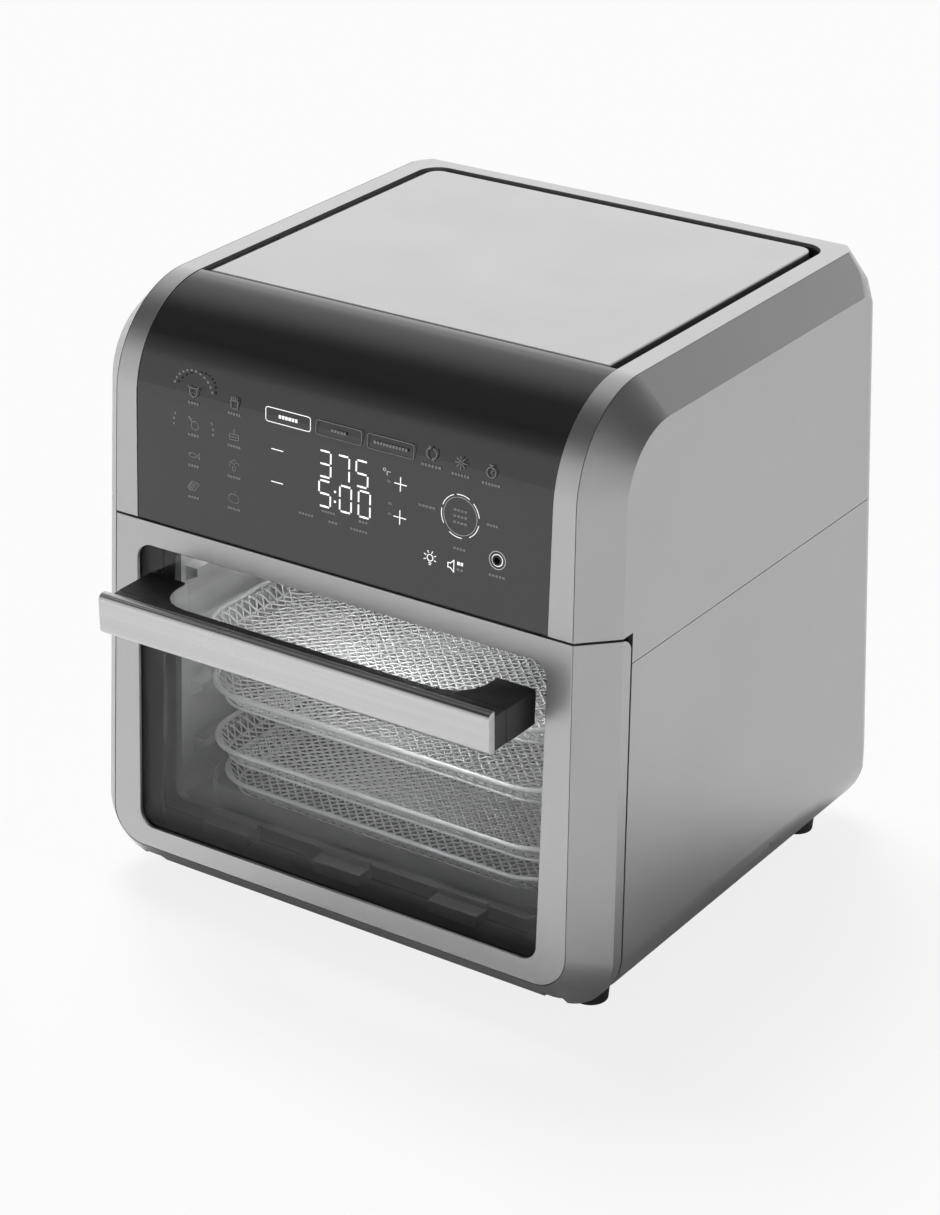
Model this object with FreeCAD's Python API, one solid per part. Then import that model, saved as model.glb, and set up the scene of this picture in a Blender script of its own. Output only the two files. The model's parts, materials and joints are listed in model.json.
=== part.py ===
"""Counter-top rotisserie oven. Millimetres; X right, -Y front, +Z up; the origin is under the middle."""
import math
import os

import FreeCAD
import Part

V = FreeCAD.Vector

# Overall size, with the handle and the feet
HEIGHT = 373.4
WIDTH = 363.2
DEPTH = 365.8

# Outer form
BASE_Z = 12.0            # underside of the body above the table
CHAMFER = 19.3           # band round the front and the top
OUTER_R = 36.0           # lower side corners
FRAME_R = 22.0           # the same corners on the light frame
TAPER_X = 0.021          # side lean
TAPER_FRONT = 0.0616     # front lean
TAPER_BACK = 0.020       # back lean
ROLL_R = 58.0            # front-to-top roll
SIDE_R = 40.0            # the same corner on the side panel
BACK_R = 45.0            # lower back corner
BACK_KINK = 60.0         # the back leans only above this height
RIM_CORNER = 24.0        # upright back corners in plan, at the top rim
BACK_CORNER = 31.0       # the same corners on the sides
WALL = 2.5
HANDLE_REACH = 54.3      # handle front to the front plane carried up to the full height
FRONT_Y_TOP = HANDLE_REACH - DEPTH / 2
BACK_Y_LOW = DEPTH / 2
SEAM = 0.4

# Door
DOOR_TOP = HEIGHT - 132.8
SPLIT_Z = DOOR_TOP - 16.9
DOOR_DEPTH = 28.0
DOOR_GAP = 1.3
DOOR_BOTTOM = BASE_Z
FRAME_BOTTOM = 30.5
WINDOW = (WIDTH / 2 - 39.3, 44.0, DOOR_TOP - 14.6, 10.0)     # half width, bottom, top, corner
GLASS = 4.0
HINGE_Y = FRONT_Y_TOP + 0.5
HINGE_Z = 24.0
PIN_R = 3.0
HINGE_X = WIDTH / 2 - 33.6

# Handle
BAR_HALF = WIDTH / 2 - 46.6
BAR_Z = (DOOR_TOP - 53.9, DOOR_TOP - 28.6)
BAR_DEPTH = 18.0
POST_Z = (DOOR_TOP - 53.4, DOOR_TOP - 32.6)
POST_IN = BAR_HALF - 26.0
BOLT_X = BAR_HALF - 11.0
BOLT_Z = DOOR_TOP - 41.6

# Top
PLATE = (WIDTH / 2 - 45.9, FRONT_Y_TOP + 60.1, DEPTH / 2 - 27.6)     # half width, front, back
TOP_GAP = 6.3            # open channel round the plate
FRONT_GAP = 1.0          # plate to the fascia's upper edge
FASCIA_HALF = WIDTH / 2 - 39.9

# Cavity
CAV_HALF = WIDTH / 2 - 44.1
CAV_FLOOR = 50.0
CAV_TOP = DOOR_TOP + 5.4
CAV_BACK = DEPTH / 2 - 47.9
SHEET = 1.2
BEZEL_O = DOOR_DEPTH + DOOR_GAP
BEZEL_T = 2.0
RAIL_STEP = (CAV_TOP - CAV_FLOOR - 82.0) / 3
RAIL_Z = [CAV_FLOOR + 31.0 + RAIL_STEP * i for i in range(4)]
RAIL_H = 14.0
RAIL_REACH = 9.0
RUN = 0.3                # running gap between a tray and its rail

# Trays
TRAY_HALF = CAV_HALF - 4.5
TRAY_Y = (FRONT_Y_TOP + 21.6, CAV_BACK - 11.0)
TRAY_R = 34.0
RIM_R = 2.2
BASKET_DEPTH = 13.0
MESH_T = 1.4
MESH_PITCH = 17.0
PAN_WALL = 1.2

# Rotors
FAN_Y = (TRAY_Y[0] + TRAY_Y[1]) / 2 + 3.5
FAN_R = 72.0
GUARD_Z = CAV_TOP - 28.0
LAMP = (FAN_Y + 58.0, CAV_TOP - 24.0)
PROBE = (60.0, CAV_TOP - 32.0)
FASCIA_ROW = HEIGHT - 96.4        # height of the probe socket
JACK_X = WIDTH / 2 - 73.6
SHAFT_R = 4.0
SHAFT_FIT = 0.05
SOCKET_Z = RAIL_Z[1] + 19.0
SOCKET_R = 8.0
PROBE_R = 1.8

# Rear
GRILLE_Z = (DOOR_TOP + 17.4, HEIGHT - 41.4)
GLAND_X = 110.0
BASE = (HINGE_X + 2.0, FRONT_Y_TOP + 16.9, BACK_Y_LOW - 33.2)     # half width, front, back
FOOT = (HINGE_X + 1.0, FRONT_Y_TOP + 27.6, BACK_Y_LOW - 45.9)


def side_x(z):
    return WIDTH / 2 - TAPER_X * (z - BASE_Z - OUTER_R)


def ribbon_x(z):
    return side_x(z) - CHAMFER


def front_y(z):
    return FRONT_Y_TOP - TAPER_FRONT * (HEIGHT - z)


def back_y(z):
    return BACK_Y_LOW - TAPER_BACK * max(z - BACK_KINK, 0.0)


def box(x0, x1, y0, y1, z0, z1):
    return Part.makeBox(x1 - x0, y1 - y0, z1 - z0, V(x0, y0, z0))


def rod(radius, start, end):
    d = end - start
    return Part.makeCylinder(radius, d.Length, start, d)


def polygon(points):
    return Part.makePolygon(list(points) + [points[0]])


def prism_x(points_yz, x0, x1):
    return Part.Face(polygon([V(x0, y, z) for y, z in points_yz])).extrude(V(x1 - x0, 0, 0))


def prism_z(points_xy, z0, z1):
    return Part.Face(polygon([V(x, y, z0) for x, y in points_xy])).extrude(V(0, 0, z1 - z0))


def rounded(x0, x1, y0, y1, r):
    """Closed outline of a rounded rectangle in the XY plane."""
    c = r * (1 - math.sqrt(0.5))
    e = [Part.makeLine(V(x0 + r, y0, 0), V(x1 - r, y0, 0)),
         Part.Arc(V(x1 - r, y0, 0), V(x1 - c, y0 + c, 0), V(x1, y0 + r, 0)).toShape(),
         Part.makeLine(V(x1, y0 + r, 0), V(x1, y1 - r, 0)),
         Part.Arc(V(x1, y1 - r, 0), V(x1 - c, y1 - c, 0), V(x1 - r, y1, 0)).toShape(),
         Part.makeLine(V(x1 - r, y1, 0), V(x0 + r, y1, 0)),
         Part.Arc(V(x0 + r, y1, 0), V(x0 + c, y1 - c, 0), V(x0, y1 - r, 0)).toShape(),
         Part.makeLine(V(x0, y1 - r, 0), V(x0, y0 + r, 0)),
         Part.Arc(V(x0, y0 + r, 0), V(x0 + c, y0 + c, 0), V(x0 + r, y0, 0)).toShape()]
    return Part.Wire(e)


def plate(x0, x1, y0, y1, r, z0, z1):
    """Rounded plate lying flat."""
    s = Part.Face(rounded(x0, x1, y0, y1, r)).extrude(V(0, 0, z1 - z0))
    s.translate(V(0, 0, z0))
    return s


def window_prism(half, z0, z1, r):
    """Upright rounded prism, long in Y, that cuts a window."""
    s = Part.Face(rounded(-half, half, z0, z1, r)).extrude(V(0, 0, 400))
    s.rotate(V(0, 0, 0), V(1, 0, 0), 90)
    s.translate(V(0, 100, 0))
    return s


def slab(o0, o1, half, z0, z1):
    """Sheet parallel to the front plane, between two offsets behind it."""
    pts = [(front_y(z0) + o0, z0), (front_y(z0) + o1, z0), (front_y(z1) + o1, z1), (front_y(z1) + o0, z1)]
    return prism_x(pts, -half, half)


def side_wire(sign, x_of_z, inset, top, low, back_in, r_top, r_back):
    """Side outline in its leaning plane: front, roll, top, back corner, back, lower corner, bottom."""
    def at(y, z):
        return V(sign * x_of_z(z), y, z)
    r4 = 6.0 + inset * 0.4
    k = 1 - math.sqrt(0.5)
    f = [at(front_y(low) + inset, low),
         at(front_y(top - r_top) + inset, top - r_top),
         at(front_y(top - r_top * k) + inset + r_top * k, top - r_top * k),
         at(front_y(top) + inset + r_top, top),
         at(back_y(top) - back_in - r4, top),
         at(back_y(top - r4 * k) - back_in - r4 * k, top - r4 * k),
         at(back_y(top - r4) - back_in, top - r4),
         at(back_y(low + r_back) - back_in, low + r_back),
         at(back_y(low) - back_in - r_back * k, low + r_back * k),
         at(back_y(low) - back_in - r_back, low)]
    return Part.Wire([Part.makeLine(f[0], f[1]), Part.Arc(f[1], f[2], f[3]).toShape(),
                      Part.makeLine(f[3], f[4]), Part.Arc(f[4], f[5], f[6]).toShape(),
                      Part.makeLine(f[6], f[7]), Part.Arc(f[7], f[8], f[9]).toShape(),
                      Part.makeLine(f[9], f[0])])


def front_wire(offset, x_of_z, z0, z1, r):
    """Outline of the door in a plane parallel to its front, with two round lower corners."""
    k = r * (1 - math.sqrt(0.5))

    def at(x, z):
        return V(x, front_y(z) + offset, z)
    a, b, c = x_of_z(z1), x_of_z(z0 + r), x_of_z(z0)
    return Part.Wire([Part.makeLine(at(-a, z1), at(-b, z0 + r)),
                      Part.Arc(at(-b, z0 + r), at(-c + k, z0 + k), at(-c + r, z0)).toShape(),
                      Part.makeLine(at(-c + r, z0), at(c - r, z0)),
                      Part.Arc(at(c - r, z0), at(c - k, z0 + k), at(b, z0 + r)).toShape(),
                      Part.makeLine(at(b, z0 + r), at(a, z1)),
                      Part.makeLine(at(a, z1), at(-a, z1))])


def back_corners(t):
    """A tall form that only rounds the upright back corners, moved inwards by t."""
    spare = 0.6 - t
    shoulder = HEIGHT - CHAMFER - 0.41 * t
    levels = [(HEIGHT + 0.5, ribbon_x(HEIGHT), RIM_CORNER), (shoulder, side_x(shoulder), BACK_CORNER),
              (BACK_KINK, side_x(BACK_KINK), BACK_CORNER), (0.0, side_x(0.0), BACK_CORNER)]
    wires = []
    for z, half, r in levels:
        wire = rounded(-half - spare, half + spare, -400.0, back_y(z) + spare, r - t)
        wire.translate(V(0, 0, z))
        wires.append(wire)
    return Part.makeLoft(wires, True, True)


def body_solid(t):
    """The closed outer form, every face moved inwards by t."""
    m = 0.41 * t

    def outer(z):
        return side_x(z) - t

    def inner(z):
        return ribbon_x(z) - m
    wires = []
    for sign in (-1, 1):
        s = side_wire(sign, outer, CHAMFER + m, HEIGHT - CHAMFER - m, BASE_Z + t, CHAMFER + m,
                      SIDE_R - m, BACK_R - m)
        r = side_wire(sign, inner, t, HEIGHT - t, BASE_Z + t, t, ROLL_R - t, BACK_R - m)
        wires += [s, r] if sign < 0 else [r, s]
    rounding = Part.Face(front_wire(0, lambda z: side_x(z) - t, BASE_Z + t, 500.0, OUTER_R - t))
    form = Part.makeLoft(wires, True, True).common(rounding.extrude(V(0, 600, 0)))
    return form.common(back_corners(t))


def door_form(t, o_front, o_back, z1):
    """The door's outer form moved inwards by t."""
    def narrow(z):
        return ribbon_x(z) - 0.41 * t

    def wide(z):
        return side_x(z) - t
    return Part.makeLoft([front_wire(o_front, narrow, FRAME_BOTTOM + 0.41 * t, z1, FRAME_R - 0.41 * t),
                          front_wire(CHAMFER + 0.41 * t, wide, DOOR_BOTTOM + t, z1, OUTER_R - t),
                          front_wire(o_back, wide, DOOR_BOTTOM + t, z1, OUTER_R - t)], True, True)


def door_side_trim(z1, r):
    """Side view of the door with its rear top corner rounded, as a prism across the oven."""
    k = r * (1 - math.sqrt(0.5))
    y1 = front_y(z1) + DOOR_DEPTH
    y0 = front_y(0) + DOOR_DEPTH
    e = [Part.makeLine(V(0, -300, 0), V(0, y0, 0)), Part.makeLine(V(0, y0, 0), V(0, y1, z1 - r)),
         Part.Arc(V(0, y1, z1 - r), V(0, y1 - k, z1 - k), V(0, y1 - r, z1)).toShape(),
         Part.makeLine(V(0, y1 - r, z1), V(0, -300, z1)), Part.makeLine(V(0, -300, z1), V(0, -300, 0))]
    s = Part.Face(Part.Wire(e)).extrude(V(500, 0, 0))
    s.translate(V(-250, 0, 0))
    return s


def hinge_sweep():
    return rod(14.8, V(-250, HINGE_Y, HINGE_Z), V(250, HINGE_Y, HINGE_Z))


def tube_wall(t0, t1):
    """The part of the body between two depths below its outer face."""
    return body_solid(t0).cut(body_solid(t1))


def behind_door():
    """Everything that is above or behind the door and its gap."""
    z = DOOR_TOP + DOOR_GAP
    low = prism_x([(front_y(0) + BEZEL_O, 0), (front_y(z) + BEZEL_O, z), (300, z), (300, 0)], -250, 250)
    return low.fuse(box(-250, 250, -300, 300, z, 500))


def ribbon_wedge(gap):
    a, b = ribbon_x(0) - gap, ribbon_x(500) - gap
    pts = [V(-a, -300, 0), V(a, -300, 0), V(b, -300, 500), V(-b, -300, 500)]
    return Part.Face(polygon(pts)).extrude(V(0, 600, 0))


def crown(gap):
    """The region of the light frame: the front above the door, the roll and the top."""
    back = back_y(HEIGHT) - WALL - 0.5 - gap
    region = box(-250, 250, -300, -60, DOOR_TOP + DOOR_GAP, 500).fuse(
        box(-250, 250, -61, back, HEIGHT - WALL - 0.1, 500))
    return region.common(ribbon_wedge(gap))


def housings():
    shell = tube_wall(0, WALL).common(behind_door()).cut(hinge_sweep())
    sides = shell.cut(crown(0))
    upper = sides.common(box(-250, 250, -300, 300, SPLIT_Z + SEAM, 500))
    upper = upper.cut(box(-70, 70, BACK_Y_LOW - 33, 300, GRILLE_Z[0] + 7, GRILLE_Z[1] - 7))
    lower = sides.common(box(-250, 250, -300, 300, 0, SPLIT_Z))
    lower = lower.cut(rod(9, V(GLAND_X, BACK_Y_LOW - 33, 70), V(GLAND_X, 300, 70)))
    grooves = []
    for sx in (-1, 1):
        for y0, y1, z0, z1 in ((FAN_Y - 59, FAN_Y + 89, 31, 36), (FAN_Y + 2, FAN_Y + 35, 36, 41)):
            x = side_x(z1) - 1.2
            a, b = sorted((sx * x, sx * 200))
            grooves.append(box(a, b, y0, y1, z0, z1))
    lower = lower.cut(grooves).cut(box(-BASE[0] - 0.4, BASE[0] + 0.4, BASE[1] - 0.3, BASE[2] + 0.3,
                                     BASE_Z - 1, BASE_Z + 4))
    return {"lower_housing": lower, "upper_housing": upper}


def fascia_sill():
    """Closes the underside of the control housing above the door gap."""
    z = DOOR_TOP + DOOR_GAP
    pts = [(-300, z), (front_y(z) + BEZEL_O + BEZEL_T, z), (front_y(z) + BEZEL_O + BEZEL_T, z + 1.5),
           (-300, z + 1.5)]
    return body_solid(WALL + 0.1).common(prism_x(pts, -250, 250))


def front_top_frame():
    s = tube_wall(0, WALL).common(crown(SEAM))
    s = s.cut(box(-FASCIA_HALF - 0.3, FASCIA_HALF + 0.3, -300, PLATE[1], 0, 500))
    h = PLATE[0] + TOP_GAP
    return s.cut(plate(-h, h, PLATE[1] - TOP_GAP - 12, PLATE[2] + TOP_GAP, 14.0, 300, 400))


def control_fascia():
    s = tube_wall(0.3, WALL).common(crown(SEAM))
    s = s.common(box(-FASCIA_HALF, FASCIA_HALF, -300, PLATE[1] - FRONT_GAP, 0, 500))
    return s.cut(rod(3.2, V(JACK_X, -300, FASCIA_ROW), V(JACK_X, FRONT_Y_TOP + 28, FASCIA_ROW)))


def top_recess():
    """Black pan under the frame; the top plate stands on it."""
    h = FASCIA_HALF + 1.5
    y0, y1 = PLATE[1] - 5.0, PLATE[2] + TOP_GAP + 3
    z = HEIGHT - WALL - 0.1
    s = plate(-h, h, y0, y1, 14.0, z - 8.0, z)
    return s.cut(plate(-h + 3, h - 3, y0 + 2, y1 - 3, 11.0, z - 6.0, z + 1))


def top_plate():
    w, y0, y1 = PLATE
    z = HEIGHT - WALL - 0.1 - 6.0
    s = plate(-w, w, y0 - 20, y1, 9.0, z, HEIGHT)
    s = s.cut(plate(-w + 2, w - 2, y0 + 2, y1 - 2, 7.0, z - 1, HEIGHT - 2.0))
    return s.common(box(-w, w, y0, y1, 0, HEIGHT))


def base_plate():
    s = box(-BASE[0], BASE[0], BASE[1], BASE[2], BASE_Z, BASE_Z + 2.0)
    slots = [box(x, x + 6, FAN_Y - 52, FAN_Y + 48, BASE_Z - 1, BASE_Z + 3) for x in range(-100, 101, 25)]
    return s.cut(Part.makeCompound(slots)).cut(hinge_sweep())


def foot(x, y):
    return Part.makeCone(10.4, 11.5, BASE_Z, V(x, y, 0))


def mouth_bezel():
    """Front plate that joins the housing to the cavity mouth."""
    top = DOOR_TOP + DOOR_GAP - 0.2
    face = front_wire(BEZEL_O, lambda z: side_x(z) - WALL - 0.1, BASE_Z + WALL + 0.1, top, OUTER_R - WALL)
    s = Part.Face(face).extrude(V(0, BEZEL_T, 0)).cut(hinge_sweep())
    for sx in (-1, 1):
        s = s.cut(box(sx * HINGE_X - 2.6, sx * HINGE_X + 2.6, HINGE_Y - 22, HINGE_Y + 38, 0, HINGE_Z + 6))
    return s.cut(window_prism(CAV_HALF, CAV_FLOOR, top - 8.0, 5.0))


def door_gasket():
    """Heat seal on the door's liner face side of the bezel, round the mouth."""
    s = slab(DOOR_DEPTH + 0.3, BEZEL_O, CAV_HALF + 10.5, 41.0, DOOR_TOP - 0.5)
    s = s.common(window_prism(CAV_HALF + 7.5, 42.5, DOOR_TOP - 0.8, 10.0))
    return s.cut(window_prism(CAV_HALF + 3.0, 47.0, DOOR_TOP - 5.3, 8.0))


def cavity_tilt():
    o = BEZEL_O + BEZEL_T
    return prism_x([(front_y(0) + o, 0), (front_y(300) + o, 300), (300, 300), (300, 0)], -250, 250)


def cavity_floor():
    s = box(-CAV_HALF, CAV_HALF, -300, CAV_BACK, CAV_FLOOR - SHEET, CAV_FLOOR)
    return s.common(cavity_tilt())


def cavity_side(sign):
    x0, x1 = sorted((sign * CAV_HALF, sign * (CAV_HALF + SHEET)))
    s = box(x0, x1, -300, CAV_BACK, CAV_FLOOR - SHEET, CAV_TOP)
    for z in RAIL_Z:
        h = RAIL_H / 2
        xa, xb = sign * CAV_HALF, sign * (CAV_HALF - RAIL_REACH)
        ya, yb = TRAY_Y[0] + 8, TRAY_Y[1] - 4
        pts = [V(xa, ya, z - h), V(xb, ya, z - h + 5), V(xb, ya, z + h - 4), V(xa, ya, z + h - 4)]
        s = s.fuse(Part.Face(polygon(pts)).extrude(V(0, yb - ya, 0)))
    if sign > 0:
        s = s.cut(rod(SOCKET_R + 0.4, V(CAV_HALF - 17, FAN_Y, SOCKET_Z), V(CAV_HALF + 12, FAN_Y, SOCKET_Z)))
        s = s.cut(rod(14.0, V(CAV_HALF - 17, LAMP[0], LAMP[1]), V(CAV_HALF + 12, LAMP[0], LAMP[1])))
    else:
        s = s.fuse(rod(9.0, V(-CAV_HALF - 5, FAN_Y, SOCKET_Z), V(-CAV_HALF + 3, FAN_Y, SOCKET_Z)))
        s = s.cut(rod(3.6, V(-CAV_HALF - 3, FAN_Y, SOCKET_Z), V(17 - CAV_HALF, FAN_Y, SOCKET_Z)))
    return s.common(cavity_tilt())


def cavity_rear():
    s = box(-CAV_HALF - SHEET, CAV_HALF + SHEET, CAV_BACK, CAV_BACK + SHEET, CAV_FLOOR - SHEET, CAV_TOP)
    return s.cut(rod(3.0, V(PROBE[0], CAV_BACK - 15, PROBE[1]), V(PROBE[0], CAV_BACK + 15, PROBE[1])))


def cavity_ceiling():
    s = box(-CAV_HALF - SHEET, CAV_HALF + SHEET, -300, CAV_BACK + SHEET, CAV_TOP, CAV_TOP + SHEET)
    hole = rod(SHAFT_R + 2, V(0, FAN_Y, CAV_TOP - 6), V(0, FAN_Y, CAV_TOP + 14))
    return s.common(cavity_tilt()).cut(hole)


def heating_element():
    """Sheathed ring under the ceiling, with two ends that rise through it."""
    z = GUARD_Z + 11
    ring = None
    for r in (88.0, 104.0):
        t = Part.makeTorus(r, 3.2, V(0, FAN_Y, z))
        ring = t if ring is None else ring.fuse(t)
    for a in (40, 140, 220, 320):
        c, s = math.cos(math.radians(a)), math.sin(math.radians(a))
        ring = ring.fuse(rod(3.2, V(88 * c, FAN_Y + 88 * s, z), V(104 * c, FAN_Y + 104 * s, z)))
        m = V(96 * c, FAN_Y + 96 * s, z)
        ring = ring.fuse(rod(3.0, m, V(m.x, m.y, CAV_TOP)))
    return ring


def element_guard():
    """Flat perforated shield below the element, hung from the ceiling at its corners."""
    z = GUARD_Z
    s = plate(12.5 - CAV_HALF, CAV_HALF - 12.5, TRAY_Y[0] + 6, TRAY_Y[1] + 5, 20.0, z, z + 1.2)
    for x in (18.5 - CAV_HALF, CAV_HALF - 18.5):
        for y in (FAN_Y - 80, FAN_Y + 80):
            s = s.fuse(box(x - 2, x + 2, y - 8, y + 8, z, CAV_TOP))
    grid = [(i, j) for i in range(-5, 6) for j in range(-5, 6) if math.hypot(i, j) < 5.3]
    return s.cut([rod(7.0, V(i * 20, FAN_Y + j * 20, z - 1), V(i * 20, FAN_Y + j * 20, z + 2))
                  for i, j in grid])


def motor_bridge():
    z = CAV_TOP + 22
    s = box(-60, 60, FAN_Y - 22, FAN_Y + 22, z, z + 2)
    for x in (-60, 58):
        s = s.fuse(box(x, x + 2, FAN_Y - 22, FAN_Y + 22, CAV_TOP + SHEET, z + 2))
    return s.cut(rod(12, V(0, FAN_Y, z - 5), V(0, FAN_Y, z + 5)))


def fan_motor():
    s = Part.makeCylinder(34, 34, V(0, FAN_Y, CAV_TOP + 24))
    return s.cut(rod(SHAFT_R + SHAFT_FIT, V(0, FAN_Y, CAV_TOP), V(0, FAN_Y, CAV_TOP + 90)))


def fan_shaft():
    return rod(SHAFT_R, V(0, FAN_Y, CAV_TOP - 16), V(0, FAN_Y, CAV_TOP + 72))


def bladed(z0, height, r, blades, hub):
    s = Part.makeCylinder(r, 1.2, V(0, FAN_Y, z0)).fuse(Part.makeCylinder(hub, height, V(0, FAN_Y, z0)))
    for i in range(blades):
        b = box(hub - 1, r, -0.8, 0.8, 0, height)
        b.rotate(V(0, 0, 0), V(0, 0, 1), 360.0 * i / blades)
        b.translate(V(0, FAN_Y, z0))
        s = s.fuse(b)
    return s.cut(rod(SHAFT_R, V(0, FAN_Y, z0 - 5), V(0, FAN_Y, z0 + height + 5)))


def spit_drive():
    x = CAV_HALF + SHEET
    motor = rod(17, V(x + 3.0, FAN_Y, SOCKET_Z), V(x + 26, FAN_Y, SOCKET_Z))
    motor = motor.fuse(box(x + 0.0, x + 3.2, FAN_Y - 30, FAN_Y + 30, SOCKET_Z - 20, SOCKET_Z + 20))
    motor = motor.cut(rod(SOCKET_R + 0.4, V(x - 2, FAN_Y, SOCKET_Z), V(x + 5, FAN_Y, SOCKET_Z)))
    motor = motor.cut(rod(4.0 + SHAFT_FIT, V(x, FAN_Y, SOCKET_Z), V(x + 22, FAN_Y, SOCKET_Z)))
    socket = rod(SOCKET_R, V(CAV_HALF - 4, FAN_Y, SOCKET_Z), V(x + 4.5, FAN_Y, SOCKET_Z))
    socket = socket.fuse(rod(4.0, V(x + 4, FAN_Y, SOCKET_Z), V(x + 21, FAN_Y, SOCKET_Z)))
    socket = socket.cut(box(CAV_HALF - 17, x + 1, FAN_Y - 4.2, FAN_Y + 4.2, SOCKET_Z - 4.2, SOCKET_Z + 4.2))
    return {"drive_motor": motor, "drive_socket": socket}


def lamp():
    x, y, z = CAV_HALF + SHEET, LAMP[0], LAMP[1]
    holder = rod(18.0, V(x, y, z), V(x + 3, y, z)).cut(rod(14.0, V(x - 1, y, z), V(x + 2, y, z)))
    holder = holder.fuse(rod(9.0, V(x + 2, y, z), V(x + 24, y, z)))
    holder = holder.cut(rod(7.0, V(x, y, z), V(x + 18, y, z)))
    bulb = rod(7.0, V(x - 3.5, y, z), V(x + 18, y, z))
    tip = [e for e in bulb.Edges if e.BoundBox.XMax < x]
    bulb = bulb.makeFillet(5.0, tip)
    cover = rod(14.0, V(CAV_HALF - 6, y, z), V(x + 2, y, z))
    cover = cover.cut(rod(12.0, V(CAV_HALF - 4, y, z), V(x + 3, y, z)))
    return {"lamp_holder": holder, "lamp_bulb": bulb, "lamp_cover": cover}


def temperature_sensor():
    x, z = PROBE
    s = rod(2.9, V(x, CAV_BACK - 23, z), V(x, CAV_BACK + 8, z))
    return s.fuse(rod(6.0, V(x, CAV_BACK + SHEET, z), V(x, CAV_BACK + 8, z)))


def electronics():
    """Display, boards and the socket for the food probe, behind the fascia."""
    x, z = JACK_X, FASCIA_ROW
    y = front_y(z) + WALL
    low = z - 19
    deep = front_y(low) + 75
    board = slab(11.6, 13.2, 120, z - 25, z + 49).cut(rod(6.0, V(x, y - 60, z), V(x, y + 60, z)))
    legs = [rod(3.0, V(a, front_y(low) + 13.0, low), V(a, deep, low)) for a in (-105, 0, 90)]
    legs.append(box(-110, 110, deep - 2, deep, CAV_TOP + SHEET, low + 4))
    display = slab(WALL + 0.1, 11.6, 35, z - 2, z + 41).translated(V(10, 0, 0))
    jack = rod(5.2, V(x, y + 0.6, z), V(x, y + 9.0, z)).fuse(rod(3.1, V(x, y - 3.1, z), V(x, y + 2, z)))
    power = box(-125, -70, FAN_Y - 52, FAN_Y + 48, CAV_TOP + 16, CAV_TOP + 18)
    for y1 in (FAN_Y - 47, FAN_Y + 33):
        power = power.fuse(box(-110, -100, y1, y1 + 10, CAV_TOP + SHEET, CAV_TOP + 17))
    return {"control_board": board.fuse(legs), "display_module": display,
            "probe_socket": jack.cut(rod(PROBE_R, V(x, y - 9, z), V(x, y + 6, z))), "power_board": power}


def rear_grille():
    z0, z1 = GRILLE_Z
    y = back_y(z1) - WALL - 0.1
    s = box(-75, 75, y - 1.6, y, z0, z1)
    count = int((z1 - z0 - 17) / 9)
    return s.cut([box(-66, 66, y - 10, y + 5, z0 + 10 + 9 * i, z0 + 14 + 9 * i) for i in range(count + 1)])


def cord_gland():
    x, z = GLAND_X, 70
    y = back_y(z)
    s = rod(8.8, V(x, y - 8, z), V(x, y, z)).fuse(rod(12, V(x, y - 8, z), V(x, y - WALL - 0.3, z)))
    return s.cut(rod(3.5, V(x, y - 20, z), V(x, y + 5, z)))


def door_parts():
    outer = door_form(0, 0, DOOR_DEPTH, DOOR_TOP)
    trim = door_side_trim(DOOR_TOP, 10.0)
    hollow = door_form(WALL, WALL + 2.5, DOOR_DEPTH + 1, DOOR_TOP - WALL)
    pocket = Part.Face(front_wire(-1, ribbon_x, FRAME_BOTTOM, DOOR_TOP + 1, FRAME_R))
    pocket = pocket.extrude(V(0, WALL + 1, 0))
    hole = window_prism(WINDOW[0] + 7.7, WINDOW[1] - 8, WINDOW[2] + 7, 10.0)
    slots = []
    for sx in (-1, 1):
        a, b = sorted((sx * (HINGE_X - 10.0), sx * (HINGE_X + 5.0)))
        slots.append(box(a, b, HINGE_Y - 8.5, HINGE_Y + 28, 0, HINGE_Z + 11))
    shell = outer.common(trim).cut(hollow).cut(pocket).cut(hole).cut(slots)

    def inset(z):
        return ribbon_x(z) - 0.3
    face = front_wire(0, inset, FRAME_BOTTOM + 0.3, DOOR_TOP, FRAME_R - 0.3)
    frame = Part.Face(face).extrude(V(0, WALL, 0)).cut(window_prism(*WINDOW))
    bolts = [rod(2.9, V(x, -300, BOLT_Z), V(x, HINGE_Y + 28, BOLT_Z)) for x in (-BOLT_X, BOLT_X)]
    w, low, top, _ = WINDOW
    pane = window_prism(w + 6, low - 6.5, top + 6, 9.5)
    glass = slab(WALL, WALL + GLASS, w + 7, low - 7, top + 6.5).common(pane).cut(bolts)
    liner_form = Part.Face(front_wire(22.0, lambda z: side_x(z) - WALL - 0.2, DOOR_BOTTOM + WALL + 0.2,
                                      DOOR_TOP - WALL - 0.2, OUTER_R - WALL)).extrude(V(0, 5.5, 0))
    liner = liner_form.common(door_side_trim(DOOR_TOP - WALL - 0.2, 8.0))
    liner = liner.cut(window_prism(w - 12.3, low + 12, top - 8, 8.0)).cut(slots)
    inner = slab(19.0, 22.0, w - 4.3, low + 4, top)
    parts = {"door_shell": shell, "door_frame": frame, "outer_glass": glass, "inner_glass": inner,
             "door_liner": liner}
    for i, x in enumerate((-82.0, 0.0, 82.0)):
        foot_ = slab(WALL + GLASS, 19.0, 17.0, low + 4.5, low + 12.5)
        clip = foot_.fuse(slab(16.0, 19.0, 17.0, low + 4.5, low + 16.0))
        parts[f"glass_clip_{i + 1}"] = clip.translated(V(x, 0, 0))
    return parts


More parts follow.
